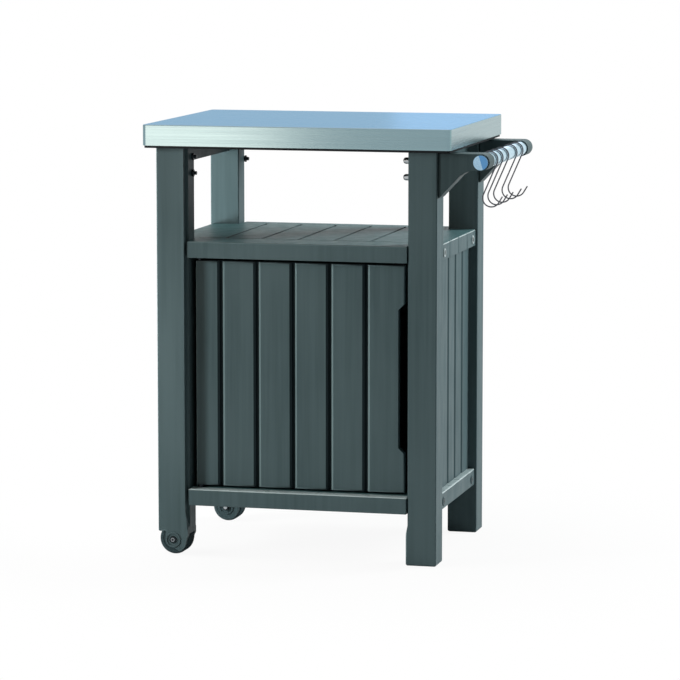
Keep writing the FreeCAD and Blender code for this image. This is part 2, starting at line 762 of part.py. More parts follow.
def make_walls():
    """The cabinet's side and back walls, each moulded as a row of upright boards."""
    low, high = base_top, deck_under
    tongues = tongue_blocks("wall_tongue")
    blanks = wall_blocks("wall_blank", low, high)
    for index, (name, face, inwards) in enumerate((
            ("side_panel_left", side_wall_left, 1), ("side_panel_right", side_wall_right, -1))):
        grooves = []
        for board in range(SIDE_GROOVES):
            y = bay_front + cell("side_board_pitch") * (board + 1)
            grooves.append(groove_upright(f"{name}_groove_{board}", "wall", "side", y, face, inwards,
                                          low, high + 1))
        solid = fuse(name + "_solid", blanks[index], tongues[index])
        named(cut(name, solid, *grooves), name)
    grooves = []
    for board in range(DOOR_GROOVES):
        x = bay_right - cell("deck_groove_place") - cell("board_pitch") * board
        grooves.append(groove_upright(f"back_groove_{board}", "wall", "front", x, back_wall, -1,
                                      low, high + 1))
    solid = fuse("back_panel_solid", blanks[2], tongues[2])
    named(cut("back_panel", solid, *grooves), "back_panel")


def make_door():
    """The door: upright boards in front, a frame and a recess behind, and a hand notch."""
    leaf = slab("door_leaf", (door_left, door_right), (door_front, door_back), (door_bottom, door_top))
    soften(leaf, cell("door_edge"), lambda edge, box: at_front(edge, box) or upright(edge, box))
    grooves = []
    for board in range(DOOR_GROOVES):
        x = bay_right - cell("door_groove_place") - cell("board_pitch") * board
        grooves.append(groove_upright(f"door_groove_{board}", "door", "front", x, door_front, 1,
                                      door_bottom - 1, door_top + 1))
    depth = cell("notch_depth")
    corners = (
        (door_right + 1, cell("notch_low") - 1), (door_right - depth, cell("notch_low") + depth),
        (door_right - depth, cell("notch_high") - depth), (door_right + 1, cell("notch_high") + 1),
    )
    notch = prism("door_notch", "XZ_Plane", corners, door_front - 1, door_back + 1)
    frame = cell("door_frame")
    recess = block("door_recess", (door_left + frame, door_right - frame),
                   (door_back - cell("door_recess"), door_back + 1),
                   (door_bottom + frame, door_top - frame))
    hold = cell("pin_hold")
    upper = rod("door_upper_hole", cell("pin_radius"), "z", (pivot_x, pivot_y, door_top - hold), hold + 1)
    lower = rod("door_lower_hole", cell("pin_radius"), "z", (pivot_x, pivot_y, door_bottom - 1), hold + 1)
    named(cut("door", leaf, *grooves, notch, recess, upper, lower), "door")


def make_hinge_pins():
    """The door's two upright pins. The lower one has a collar that bears the door."""
    hold, reach = cell("pin_hold"), cell("pin_reach")
    upper = rod("pin_upper", cell("pin_radius"), "z", (pivot_x, pivot_y, door_top - hold),
                hold + cell("door_gap_top") + reach - 1)
    lower = rod("pin_lower", cell("pin_radius"), "z", (pivot_x, pivot_y, base_top - reach + 1),
                hold + cell("door_gap_bottom") + reach - 1)
    collar = rod("pin_collar", cell("pin_collar_radius"), "z", (pivot_x, pivot_y, base_top),
                 cell("door_gap_bottom"))
    named(fuse("door_hinge_pins", upper, fuse("pin_lower_whole", lower, collar)), "door_hinge_pins")


def make_catch():
    """The catch that hangs from the deck behind the door's free edge."""
    near = door_back + cell("catch_gap")
    right = door_right - cell("door_edge")
    left = right - cell("catch_length")
    lip = cell("skirt")
    foot = block("catch_foot", (left, right), (near, near + cell("catch_depth") * 2),
                 (deck_under - lip, deck_under))
    body = block("catch_body", (left, right), (near, near + cell("catch_depth")),
                 (deck_under - cell("catch_drop"), deck_under))
    named(fuse("door_catch", foot, body), "door_catch")


def bracket_span(leg):
    """The stretch of a rail bracket along Y, set in from the leg it is bolted to."""
    outer, inner, face, other = leg
    front = face if face.number < other.number else other
    start = front + cell("bracket_inset")
    return start, start + cell("bracket_length")


def make_bracket(name, leg):
    """The arm that holds the side rail in a round eye."""
    start, end = bracket_span(leg)
    foot = legs_right + cell("neck")
    top, under = rail_z + eye, rail_z - eye
    low = top - cell("bracket_height")
    corner, round_off = foot + cell("gusset"), cell("gusset_round")
    corners = (
        (foot, low), (corner - round_off, under - round_off), (corner, under - round_off / 3),
        (corner + round_off, under), (rail_x + eye, under), (rail_x + eye, top), (foot, top),
    )
    arm = prism(name + "_arm", "XZ_Plane", corners, start, end)
    soften(arm, eye * 0.995, lambda edge, box: edge.BoundBox.XMin > box.XMax - 0.01 and along_y(edge))
    soften(arm, cell("bracket_edge"), lambda edge, box: not along_y(edge))
    neck = block(name + "_neck", (legs_right, foot + 1),
                 (start + cell("neck"), end - cell("neck")), (low + cell("neck"), top - cell("neck")))
    bore = rod(name + "_bore", cell("rail_radius") + fit, "y", (rail_x, start - 1, rail_z),
               cell("bracket_length") + 2)
    solid = fuse(name + "_solid", arm, neck)
    named(cut(name, solid, bore, bolt_holes(name + "_bolt_holes", leg)), name)


def make_rail():
    """The tube of the side rail and the plugged caps in its ends."""
    radius = cell("rail_radius")
    inside = radius - cell("rail_wall")
    length = rail_back - rail_front
    tube = turned("rail_tube", ((inside, sized(0)), (radius, sized(0)), (radius, length), (inside, length)))
    put(tube, rail_x, rail_front, rail_z)
    named(tube, "rail_tube")
    for name, place, outwards in (("rail_cap_front", rail_front, -1), ("rail_cap_rear", rail_back, 1)):
        proud, plug = cell("cap_proud"), cell("cap_plug")
        disc = rod(name + "_disc", radius, "y", (rail_x, place if outwards > 0 else place - proud, rail_z),
                   proud)
        stem = rod(name + "_stem", inside - fit, "y",
                   (rail_x, place - plug if outwards > 0 else place, rail_z), plug)
        facets = cap_facets(name, place + proud * outwards, outwards)
        named(cut(name, fuse(name + "_solid", disc, stem), *facets), name)


def cap_facets(name, tip, outwards):
    """Two blocks that slope a cap's end down from a slanted ridge."""
    facets = []
    thick = cell("rail_radius")
    reach = thick * 3
    for side in (-1, 1):
        facet = doc.addObject("Part::Box", f"{name}_facet_{side + 1}")
        bind(facet, "Length", reach)
        bind(facet, "Width", thick)
        bind(facet, "Height", reach * 2)
        spin = FreeCAD.Rotation(FreeCAD.Vector(0, 1, 0), cell("cap_ridge_angle").number)
        tilt = FreeCAD.Rotation(FreeCAD.Vector(0, 0, 1), -side * outwards * cell("cap_slope").number)
        offset = FreeCAD.Vector(0 if side > 0 else -reach.number,
                                0 if outwards > 0 else -thick.number, -reach.number)
        facet.Placement = FreeCAD.Placement(FreeCAD.Vector(), spin * tilt)
        shift = (spin * tilt).multVec(offset)
        put(facet, rail_x + shift.x, tip + shift.y, rail_z + shift.z)
        facets.append(facet)
    return facets


def make_hook(number):
    """One wire hook that hangs over the side rail."""
    body = doc.addObject("PartDesign::Body", f"hook_{number}")
    radius, bend, wire = hook_radius, cell("hook_bend_radius"), cell("hook_wire")
    end = cell("hook_end")
    out, drop = cell("hook_bend_out"), cell("hook_bend_drop")
    path = new_sketch(body, f"hook_{number}_path", "XZ_Plane")
    normal = FreeCAD.Vector(0, 0, 1)
    start = FreeCAD.Vector(-radius.number, -end.number, 0)
    shoulder = FreeCAD.Vector(-radius.number, 0, 0)
    lean = math.acos((radius + bend).number / math.hypot(out.number, drop.number))
    leave = math.atan2(-drop.number, out.number) + lean
    tip_turn = math.radians(tip_angle.number)
    over = Part.ArcOfCircle(Part.Circle(FreeCAD.Vector(), normal, radius.number), leave, math.pi)
    centre = FreeCAD.Vector(out.number, -drop.number, 0)
    below = Part.ArcOfCircle(Part.Circle(centre, normal, bend.number), leave + math.pi,
                             tip_turn + math.pi * 1.5)
    path.addGeometry(Part.LineSegment(start, shoulder))
    path.addGeometry(over)
    path.addGeometry(Part.LineSegment(over.StartPoint, below.StartPoint))
    path.addGeometry(below)
    reach = FreeCAD.Vector(math.cos(tip_turn), math.sin(tip_turn), 0) * cell("hook_tip").number
    tip = below.EndPoint + reach
    path.addGeometry(Part.LineSegment(below.EndPoint, tip))
    fix_point(path, 0, 1, -radius, -end)
    fix_point(path, 1, 3, 0, 0)
    path.addConstraint(Sketcher.Constraint("Vertical", 0))
    for first, first_end, second, second_end in ((0, 2, 1, 2), (1, 1, 2, 1), (2, 2, 3, 1), (3, 2, 4, 1)):
        path.addConstraint(Sketcher.Constraint("Tangent", first, first_end, second, second_end))
    fix_point(path, 3, 3, out, -drop)
    for kind, edge, size in (("Radius", 3, bend), ("Distance", 4, cell("hook_tip"))):
        rule = path.addConstraint(Sketcher.Constraint(kind, edge, size.number))
        path.setExpression(f"Constraints[{rule}]", size.words)
    rule = path.addConstraint(Sketcher.Constraint("Angle", -1, 1, 4, 1, tip_turn))
    path.setExpression(f"Constraints[{rule}]", tip_angle.words + " * 1 deg")
    profile = new_sketch(body, f"hook_{number}_wire", "XY_Plane")
    bind(profile, "AttachmentOffset.Base.z", -end)
    profile.addGeometry(Part.Circle(FreeCAD.Vector(-radius.number, 0, 0), normal, wire.number))
    fix_point(profile, 0, 3, -radius, 0)
    rule = profile.addConstraint(Sketcher.Constraint("Radius", 0, wire.number))
    profile.setExpression(f"Constraints[{rule}]", wire.words)
    sweep = body.newObject("PartDesign::AdditivePipe", f"hook_{number}_sweep")
    sweep.Profile = profile
    sweep.Spine = (path, [])
    put(body, rail_x, tray_front + cell(f"hook_{number}_place"), rail_z)
    named(body, f"hook_{number}")


def make_wheel(name, leg):
    """A moulded wheel with a dished face on each side, and the bolt it turns on."""
    outer, inner, face, other = leg
    half = cell("wheel_width") / 2
    radius, shoulder = cell("wheel_radius"), cell("wheel_shoulder")
    bore = cell("axle_radius") + fit
    rim, hub, dish = cell("wheel_dish_radius"), cell("wheel_hub_radius"), cell("wheel_dish")
    ease = shoulder * 0.3
    profile = [(bore, -half), (hub, -half), (hub + dish / 2, dish - half), (rim - dish / 2, dish - half),
               (rim, -half), (radius - shoulder, -half), (radius - ease, ease - half),
               (radius, shoulder - half)]
    profile += [(across, -up) for across, up in reversed(profile)]
    wheel = turned(name, profile)
    centre = leg_middle(face, other)
    put(wheel, axle_x, centre, axle_z)
    named(wheel, name)


def make_axle(name, leg):
    """The wheel's bolt: a domed head outside, a plain shank and a nut inside."""
    outer, inner, face, other = leg
    depth = cell("leg_depth")
    head, head_radius, shank = cell("axle_head"), cell("axle_head_radius"), cell("axle_radius")
    end = depth + head * 2
    profile = ((sized(0), -head), (head_radius * 0.6, -head), (head_radius, -head * 0.4),
               (head_radius, sized(0)), (shank, sized(0)), (shank, end), (sized(0), end))
    if face.number > other.number:
        profile = tuple((across, -up) for across, up in reversed(profile))
    bolt = turned(name, profile)
    put(bolt, axle_x, face, axle_z)
    named(bolt, name)


def make_nuts():
    """The nuts inside the two wheeled legs, as one group."""
    nuts = []
    for name, leg in LEGS.items():
        outer, inner, face, other = leg
        if outer.number > inner.number:
            continue
        thick = cell("axle_head") * 1.5
        start = other if other.number > face.number else other - thick
        nut = rod("nut_" + name, cell("axle_nut_radius"), "y", (axle_x, start, axle_z), thick)
        hole = rod("nut_hole_" + name, cell("axle_radius") + fit, "y", (axle_x, start, axle_z), thick)
        nuts.append(cut("nut_whole_" + name, nut, hole))
    named(fuse("wheel_nuts", *nuts), "wheel_nuts")


def make_bolts(name, sides):
    """The two bolts at the top of each leg of one side, with their nuts on the inner face."""
    bolts = []
    for leg_name in sides:
        outer, inner, face, other = LEGS[leg_name]
        to_bracket = outer.number > inner.number
        length = cell("leg_width") + cell("bolt_bite") if to_bracket else cell("bolt_bite")
        length = length - 1
        thick = cell("cap_nut") if to_bracket else cell("bolt_nut")
        end = 0 if to_bracket else thick + cell("bolt_end")
        for index, height in enumerate(bolt_heights()):
            tag = f"{name}_{leg_name}_{index}"
            shank = rod(tag + "_shank", cell("bolt_radius"), "x",
                        (inner if to_bracket else inner - length, bolt_place(LEGS[leg_name]), height),
                        length + end)
            nut = rod(tag + "_nut", cell("bolt_nut_radius"), "x",
                      (inner - thick if to_bracket else inner, bolt_place(LEGS[leg_name]), height), thick)
            bolts.append(fuse(tag, shank, nut))
    named(fuse(name, *bolts), name)


def make_screws(name, under):
    """The four screws that hold a shelf's side skirts to the legs' lugs."""
    screws = []
    height = under - cell("screw_drop") + cell("plate")
    for leg_name, leg in LEGS.items():
        outer, inner, face, other = leg
        left = outer.number < inner.number
        skin = step(outer, inner, cell("panel_setback"))
        length = cell("skirt") + cell("screw_bite") - 1
        tag = f"{name}_{leg_name}"
        shank = rod(tag + "_shank", cell("screw_radius"), "x",
                    (skin if left else skin - length, screw_spot(leg), height), length)
        head = rod(tag + "_head", cell("screw_head_radius"), "x",
                   (skin - cell("screw_head") if left else skin, screw_spot(leg), height),
                   cell("screw_head"))
        screws.append(fuse(tag, shank, head))
    named(fuse(name, *screws), name)


make_tray()
make_core()
for leg_name, leg in LEGS.items():
    make_leg(leg_name, leg)
make_upper_rail("upper_rail_left", LEGS["leg_front_left"])
make_upper_rail("upper_rail_right", LEGS["leg_front_right"])
make_deck()
make_base()
make_walls()
make_door()
make_hinge_pins()
make_catch()
make_bracket("rail_bracket_front", LEGS["leg_front_right"])
make_bracket("rail_bracket_rear", LEGS["leg_rear_right"])
make_rail()
for number in range(1, HOOK_COUNT + 1):
    make_hook(number)
make_wheel("wheel_front", LEGS["leg_front_left"])
make_wheel("wheel_rear", LEGS["leg_rear_left"])
make_axle("wheel_axle_front", LEGS["leg_front_left"])
make_axle("wheel_axle_rear", LEGS["leg_rear_left"])
make_nuts()
make_bolts("leg_bolts", ("leg_front_left", "leg_rear_left"))
make_bolts("bracket_bolts", ("leg_front_right", "leg_rear_right"))
make_screws("mid_shelf_screws", deck_under)
make_screws("base_shelf_screws", base_under)
doc.recompute()

# Nothing is written unless every object and every sub-part came out whole
for thing in doc.Objects:
    if "Invalid" in thing.State or "Error" in thing.State:
        raise RuntimeError(f"{thing.Name} did not recompute: {thing.State}")
for thing in sub_parts:
    if thing.Shape.isNull() or not thing.Shape.isValid():
        raise RuntimeError(f"{thing.Label} has no valid shape")
os.makedirs("parts", exist_ok=True)
for thing in sub_parts:
    thing.Shape.exportStep(f"parts/{thing.Label}.step")
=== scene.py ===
import json
import math

import bmesh
import bpy
from mathutils import Matrix, Vector


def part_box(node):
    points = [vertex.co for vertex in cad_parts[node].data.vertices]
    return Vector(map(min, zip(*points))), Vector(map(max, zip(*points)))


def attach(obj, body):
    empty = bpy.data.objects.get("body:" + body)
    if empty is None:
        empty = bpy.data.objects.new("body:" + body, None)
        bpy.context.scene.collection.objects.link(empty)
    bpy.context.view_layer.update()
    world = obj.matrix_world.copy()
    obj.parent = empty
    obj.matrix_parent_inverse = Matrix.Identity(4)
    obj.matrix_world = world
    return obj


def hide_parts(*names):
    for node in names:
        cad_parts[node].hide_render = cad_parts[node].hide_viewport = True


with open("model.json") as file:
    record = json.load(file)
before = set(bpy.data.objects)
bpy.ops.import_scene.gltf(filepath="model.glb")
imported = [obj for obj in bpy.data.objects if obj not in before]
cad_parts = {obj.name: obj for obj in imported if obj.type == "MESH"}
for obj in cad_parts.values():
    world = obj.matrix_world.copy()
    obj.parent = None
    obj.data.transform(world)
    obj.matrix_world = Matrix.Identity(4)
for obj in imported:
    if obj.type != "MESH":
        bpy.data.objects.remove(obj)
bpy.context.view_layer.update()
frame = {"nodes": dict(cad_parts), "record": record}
nodes = frame["nodes"]
body_of = {node: body for body, members in frame["record"]["behaviour"]["bodies"].items()
           for node in members}
slot_of = {part["node"]: part["material_slot"] for part in frame["record"]["subparts"]}
joint_place = {joint["name"]: Vector(joint["pos_m"])
               for joint in frame["record"]["behaviour"]["joints"]}


# Materials

RESIN_IOR = 1.49
LINE_DEPTH, COAT_DEPTH = 0.000012, 0.00001


class Finish:
    """A material under construction: its nodes, its links and its shader."""

    def __init__(self, name):
        self.material = bpy.data.materials.new(name)
        self.material.use_nodes = True
        self.tree = self.material.node_tree
        self.shader = self.tree.nodes["Principled BSDF"]
        self.place = self.tree.nodes.new("ShaderNodeTexCoord").outputs["Object"]

    def set(self, **values):
        """Set uniform values straight on the shader's sockets."""
        for name, value in values.items():
            self.shader.inputs[name.replace("_", " ")].default_value = value

    def link(self, output, socket):
        """Join an output to one of the shader's sockets."""
        self.tree.links.new(output, self.shader.inputs[socket])

    def stretched(self, scale):
        """The object's coordinates, scaled by axis, so that a noise on them runs in streaks."""
        mapping = self.tree.nodes.new("ShaderNodeMapping")
        mapping.inputs["Scale"].default_value = scale
        self.tree.links.new(self.place, mapping.inputs["Vector"])
        return mapping.outputs["Vector"]

    def noise(self, scale, detail=2.0, roughness=0.5):
        """A noise whose scale is given for each axis, in cycles a metre."""
        texture = self.tree.nodes.new("ShaderNodeTexNoise")
        texture.inputs["Scale"].default_value = 1.0
        texture.inputs["Detail"].default_value = detail
        texture.inputs["Roughness"].default_value = roughness
        self.tree.links.new(self.stretched(scale), texture.inputs["Vector"])
        return texture.outputs["Fac"]

    def spread(self, value, low, high, start=0.3, end=0.7):
        """Spread a noise over a range of numbers."""
        node = self.tree.nodes.new("ShaderNodeMapRange")
        node.inputs["From Min"].default_value = start
        node.inputs["From Max"].default_value = end
        node.inputs["To Min"].default_value = low
        node.inputs["To Max"].default_value = high
        self.tree.links.new(value, node.inputs["Value"])
        return node.outputs["Result"]

    def between(self, amount, first, second):
        """Mix two colours, or a colour and what another mix gives."""
        node = self.tree.nodes.new("ShaderNodeMix")
        node.data_type = "RGBA"
        self.tree.links.new(amount, node.inputs["Factor"])
        for socket, colour in ((node.inputs[6], first), (node.inputs[7], second)):
            if isinstance(colour, tuple):
                socket.default_value = (*colour, 1.0)
            else:
                self.tree.links.new(colour, socket)
        return node.outputs[2]

    def relief(self, *layers):
        """Raise the surface by noises, each with its depth in metres."""
        normal = None
        for height, depth in layers:
            bump = self.tree.nodes.new("ShaderNodeBump")
            bump.inputs["Distance"].default_value = depth
            self.tree.links.new(height, bump.inputs["Height"])
            if normal is not None:
                self.tree.links.new(normal, bump.inputs["Normal"])
            normal = bump.outputs["Normal"]
        self.link(normal, "Normal")


def resin_finish(name, dark, light, gloss, grain, level=0.035):
    """Moulded resin: satin, with a fine grain, slow cloudiness and faint streaks of flow.

    The grain is the depth of the relief in metres, and the level is the strength of the mirror
    part, which is weak on a moulding with a matt grain.
    """
    finish = Finish(name)
    cloud = finish.spread(finish.noise((5, 5, 3), 3), 0, 1, 0.35, 0.65)
    streak = finish.spread(finish.noise((90, 90, 3), 2), 0, 0.5, 0.35, 0.65)
    base = finish.between(cloud, dark, light)
    lifted = tuple(channel * 1.15 for channel in light)
    finish.link(finish.between(streak, base, lifted), "Base Color")
    speckle = finish.noise((1500, 1500, 1500), 2)
    finish.link(finish.spread(finish.noise((40, 40, 12), 4), gloss - 0.05, gloss + 0.07),
                "Roughness")
    finish.relief((speckle, grain), (finish.noise((140, 140, 6), 2), grain * 1.5))
    finish.set(IOR=RESIN_IOR, Specular_IOR_Level=level)
    return finish.material


def brushed_finish(name, colour, lines, gloss, edge_tint=None):
    """Brushed steel: lines along the axis with the slow noise, in colour, gloss and relief."""
    finish = Finish(name)
    fine = finish.noise(lines, 3, 0.6)
    broad = finish.noise(tuple(rate / 5 for rate in lines), 2)
    darker = tuple(channel * 0.93 for channel in colour)
    finish.link(finish.between(finish.spread(broad, 0, 1), darker, colour), "Base Color")
    finish.link(finish.spread(fine, gloss - 0.05, gloss + 0.06), "Roughness")
    finish.relief((fine, LINE_DEPTH))
    finish.set(Metallic=1.0)
    if edge_tint:
        finish.set(Specular_Tint=(*edge_tint, 1.0))
    return finish.material


def plated_finish(name, colour, gloss):
    """Plated or painted metal with the small unevenness of a thin coat."""
    finish = Finish(name)
    patch = finish.spread(finish.noise((60, 60, 60), 3), 0, 1)
    darker = tuple(channel * 0.9 for channel in colour)
    finish.link(finish.between(patch, darker, colour), "Base Color")
    finish.link(finish.spread(finish.noise((300, 300, 300), 3), gloss - 0.04, gloss + 0.06),
                "Roughness")
    finish.relief((finish.noise((700, 700, 700), 2), COAT_DEPTH))
    finish.set(Metallic=1.0)
    return finish.material


grey_resin = resin_finish("grey_resin_satin", (0.050, 0.080, 0.086), (0.064, 0.098, 0.105), 0.40,
                          0.00005)
# A paler, tealer copy of the resin for the shelves' upward faces: painted light
painted_light_shelf_top = resin_finish("shelf_top_resin_painted_light", (0.066, 0.138, 0.146), (0.082, 0.162, 0.170), 0.42,
                          0.00005, 0.05)
# Two lighter, glossier copies of the resin, as painted highlights on edges, ledges, rings and
# groove slopes
highlight_painted_resin = resin_finish("resin_painted_highlight", (0.240, 0.310, 0.315), (0.320, 0.400, 0.405),
                          0.30, 0.00002, 0.3)
lit_resin = resin_finish("resin_painted_soft_highlight", (0.085, 0.128, 0.135), (0.105, 0.155, 0.162), 0.36,
                         0.00003)
# A dark copy of the resin, as painted shade inside grooves
painted_groove_shade = resin_finish("groove_resin_painted_shade", (0.016, 0.027, 0.031), (0.024, 0.038, 0.043),
                            0.60, 0.00005, 0.01)
black_resin = resin_finish("black_resin_matt", (0.010, 0.012, 0.013), (0.014, 0.016, 0.018), 0.6,
                           0.00008)
bracket_resin = resin_finish("bracket_resin_satin", (0.036, 0.057, 0.061), (0.046, 0.071, 0.075),
                             0.42, 0.00005)
# The wheels' own dark resin, used as well as painted shade in the right wall's grooves and on the
# rear wheel's cheek
wheel_and_painted_shade_resin = resin_finish("wheel_rough_and_painted_shade", (0.022, 0.037, 0.041), (0.036, 0.058, 0.063), 0.50,
                           0.00014)
# The tray's sheet is one steel in three colours: the front as the skirt, the top and the right
# side painted lighter as painted light, and the top's blue edge tint a painted sky reflection
top_steel_painted_light = brushed_finish("brushed_top_painted_light_and_sky", (0.45, 0.52, 0.55), (3, 900, 900), 0.25,
                               (0.28, 0.57, 0.84))
skirt_steel = brushed_finish("skirt_steel_brushed", (0.213, 0.320, 0.352), (3, 3, 900), 0.24)
right_side_painted_light_steel = brushed_finish("brushed_side_painted_lighter", (0.245, 0.385, 0.405), (3, 3, 900), 0.24)
# The rail's strong blue is a painted reflection of sky on the bright steel
sky_painted_rail_metal = brushed_finish("brushed_rail_painted_sky", (0.44, 0.72, 0.86), (500, 4, 500), 0.20)
# A lit and a shaded copy of the caps' chrome: painted reflection on their two facets
lit_cap_tone = plated_finish("cap_polished_painted_lit", (0.30, 0.47, 0.61), 0.12)
shaded_cap_tone = plated_finish("cap_polished_painted_shaded", (0.10, 0.26, 0.48), 0.12)
hook_metal = plated_finish("hook_wire_dark", (0.100, 0.105, 0.120), 0.30)
# Zinc for the right cap nuts, used as well as a painted glint in the middle of the axle heads
zinc_and_painted_glint = plated_finish("zinc_and_painted_glint", (0.40, 0.44, 0.46), 0.30)
screw_grey = plated_finish("screw_grey", (0.075, 0.095, 0.105), 0.34)
# Blackened metal for bolts and nuts, used as well as painted shade in the screws' recesses
dark_metal_and_recess_shade = plated_finish("blackened_metal_and_painted_recess_shade", (0.020, 0.026, 0.030), 0.34)
FINISHES = {
    "grey_resin": grey_resin, "black_resin": black_resin, "wheel_plastic": wheel_and_painted_shade_resin,
    "steel_sheet": skirt_steel, "rail_metal": sky_painted_rail_metal, "cap_metal": lit_cap_tone,
    "hook_wire": hook_metal, "fastener": dark_metal_and_recess_shade,
}


# Pieces

def show(piece, node, material=None):
    """Let a piece stand for a CAD node, on its body and with its finish."""
    piece.data.materials.clear()
    piece.data.materials.append(material or FINISHES[slot_of[node]])
    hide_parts(node)
    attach(piece, body_of[node])


def as_object(name, shape):
    """Turn a finished bmesh into an object in the scene."""
    mesh = bpy.data.meshes.new(name)
    shape.to_mesh(mesh)
    shape.free()
    piece = bpy.data.objects.new(name, mesh)
    bpy.context.scene.collection.objects.link(piece)
    return piece


def shade(piece, angle):
    """Shade a piece smooth, with hard edges past an angle in degrees and even flats."""
    piece.data.shade_smooth()
    piece.data.set_sharp_from_angle(angle=math.radians(angle))
    even = piece.modifiers.new("even_flats", "WEIGHTED_NORMAL")
    even.keep_sharp = True
    even.weight = 80


WELD, FLAT_TURN = 0.00001, 0.005
HARD_TURN, HARD_LENGTH = math.radians(35), 0.003


def eased(name, node, radius):
    """A welded copy of a CAD node whose long hard edges are rounded a little."""
    shape = bmesh.new()
    shape.from_mesh(nodes[node].data)
    bmesh.ops.remove_doubles(shape, verts=shape.verts, dist=WELD)
    bmesh.ops.dissolve_limit(shape, angle_limit=FLAT_TURN, verts=shape.verts, edges=shape.edges)
    hard = [edge for edge in shape.edges
            if edge.is_manifold and edge.calc_length() > HARD_LENGTH
            and edge.calc_face_angle_signed(0) > HARD_TURN]
    if radius:
        bmesh.ops.bevel(shape, geom=hard, offset=radius, offset_type="OFFSET", affect="EDGES",
                        segments=2, profile=0.5, clamp_overlap=True, material=-1)
    piece = as_object(name, shape)
    shade(piece, 40)
    return piece


# The radius that each node's hard edges get, in metres
EASED = {
    "leg_front_left": 0.0020, "leg_rear_left": 0.0020, "leg_front_right": 0.0020,
    "leg_rear_right": 0.0020, "upper_rail_left": 0.001, "upper_rail_right": 0.001,
    "mid_shelf": 0.0016, "base_shelf": 0.0016, "side_panel_left": 0.0012,
    "side_panel_right": 0.0012, "back_panel": 0.0012, "door": 0.0012, "door_catch": 0.0008,
    "rail_bracket_front": 0.0008, "rail_bracket_rear": 0.0008, "worktop_core": 0.0006,
    "worktop_tray": 0.0, "rail_tube": 0.0003,
    "hook_1": 0.0003, "hook_2": 0.0003, "hook_3": 0.0003, "hook_4": 0.0003, "hook_5": 0.0003,
    "door_hinge_pins": 0.0004,
}
for node, radius in EASED.items():
    show(eased(node + "_finished", node, radius), node,
         bracket_resin if "rail_bracket" in node else None)


# Further tones on parts of the pieces, most of them painted light and painted shade

def finished(node):
    """The dressed copy of a CAD node."""
    return bpy.data.objects[node + "_finished"]


def middle_height(node):
    """The height of a CAD node's middle."""
    low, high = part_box(node)
    return (low.z + high.z) / 2


def scored(piece, cuts):
    """Cut a piece's faces along planes, each a point and a normal, without parting it."""
    shape = bmesh.new()
    shape.from_mesh(piece.data)
    for point, normal in cuts:
        bmesh.ops.bisect_plane(shape, geom=shape.verts[:] + shape.edges[:] + shape.faces[:],
                               plane_co=point, plane_no=normal, dist=WELD)
    shape.to_mesh(piece.data)
    shape.free()


def second_tone(piece, material, wanted):
    """Give the faces that a test picks out a further finish."""
    piece.data.materials.append(material)
    last = len(piece.data.materials) - 1
    for face in piece.data.polygons:
        if wanted(face):
            face.material_index = last


# The tray's top and its right side, each a lighter copy of the steel as painted light; the top's
# blue edge tint is a painted sky reflection
second_tone(finished("worktop_tray"), top_steel_painted_light, lambda face: face.normal.z > 0.7)
second_tone(finished("worktop_tray"), right_side_painted_light_steel, lambda face: face.normal.x > 0.8)

# The deck and the base: a top painted paler as painted light, and a painted highlight where the
# light runs along the edges. The highlight is an edge on the deck and a ledge on the base, in from
# the front and the right.
EDGE_DEPTH, EDGE_WIDTH = 0.0035, 0.0036
LEDGE_DEPTH, LEDGE_WIDTH = 0.0238, 0.0181
TOP_REACH, EDGE_REACH = 0.006, 0.004


def on_rim(face, height):
    """Whether a face is on the rounded or level upper edge of a shelf."""
    return face.normal.z > 0.3 and face.center.z > height - EDGE_REACH


for node, depth, width, front_painted_highlight in (("mid_shelf", EDGE_DEPTH, EDGE_WIDTH, lit_resin),
                                        ("base_shelf", LEDGE_DEPTH, LEDGE_WIDTH, highlight_painted_resin)):
    shelf = finished(node)
    low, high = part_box(node)
    scored(shelf, (((0, low.y + LEDGE_DEPTH, 0), (0, 1, 0)),
                   ((high.x - LEDGE_WIDTH, 0, 0), (1, 0, 0))))
    # painted light: the shelf's top in the paler copy of the resin
    second_tone(shelf, painted_light_shelf_top,
                lambda face: face.normal.z > 0.9 and face.center.z > high.z - TOP_REACH)
    # painted highlight along the front edge of the deck and the ledge of the base
    second_tone(shelf, front_painted_highlight,
                lambda face: on_rim(face, high.z) and face.center.y < low.y + depth)
    # painted highlight along the right edge
    second_tone(shelf, highlight_painted_resin,
                lambda face: on_rim(face, high.z) and face.center.x > high.x - width)

# The raised rings round the deck's right screws, each a little in from the leg beside it, with a
# painted highlight
SCREW_INSET = 0.015
RING_RISE, RING_REACH = 0.0018, 0.0095
screw_places = (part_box("leg_front_right")[1].y - SCREW_INSET,
                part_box("leg_rear_right")[0].y + SCREW_INSET)
ring_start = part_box("mid_shelf")[1].x - RING_RISE
ring_height = middle_height("mid_shelf_screws")
second_tone(finished("mid_shelf"), highlight_painted_resin,
            lambda face: face.center.x > ring_start
            and abs(face.center.z - ring_height) < RING_REACH
            and min(abs(face.center.y - y) for y in screw_places) < RING_REACH)

# The right front leg's inner front edge, with a painted highlight
second_tone(finished("leg_front_right"), lit_resin,
            lambda face: face.normal.x < -0.3 and face.normal.y < -0.3)

# The front cheek of the rear wheel's housing, painted as dark as the wheel: painted shade
CHEEK_DROP, CHEEK_REACH = 0.003, 0.001
wheel_low, wheel_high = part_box("wheel_rear")
second_tone(finished("leg_rear_left"), wheel_and_painted_shade_resin,
            lambda face: face.center.z < wheel_high.z - CHEEK_DROP
            and face.center.y < wheel_low.y + CHEEK_REACH)

# The door's grooves, painted dark inside as painted shade, but for the slope that faces the hinge,
# which has a painted highlight
GROOVE_START, SLOPE_DEPTH, GROOVE_DEPTH = 0.0004, 0.0032, 0.0095
SIDE_MARGIN, END_MARGIN = 0.0245, 0.0038
door_low, door_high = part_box("door")


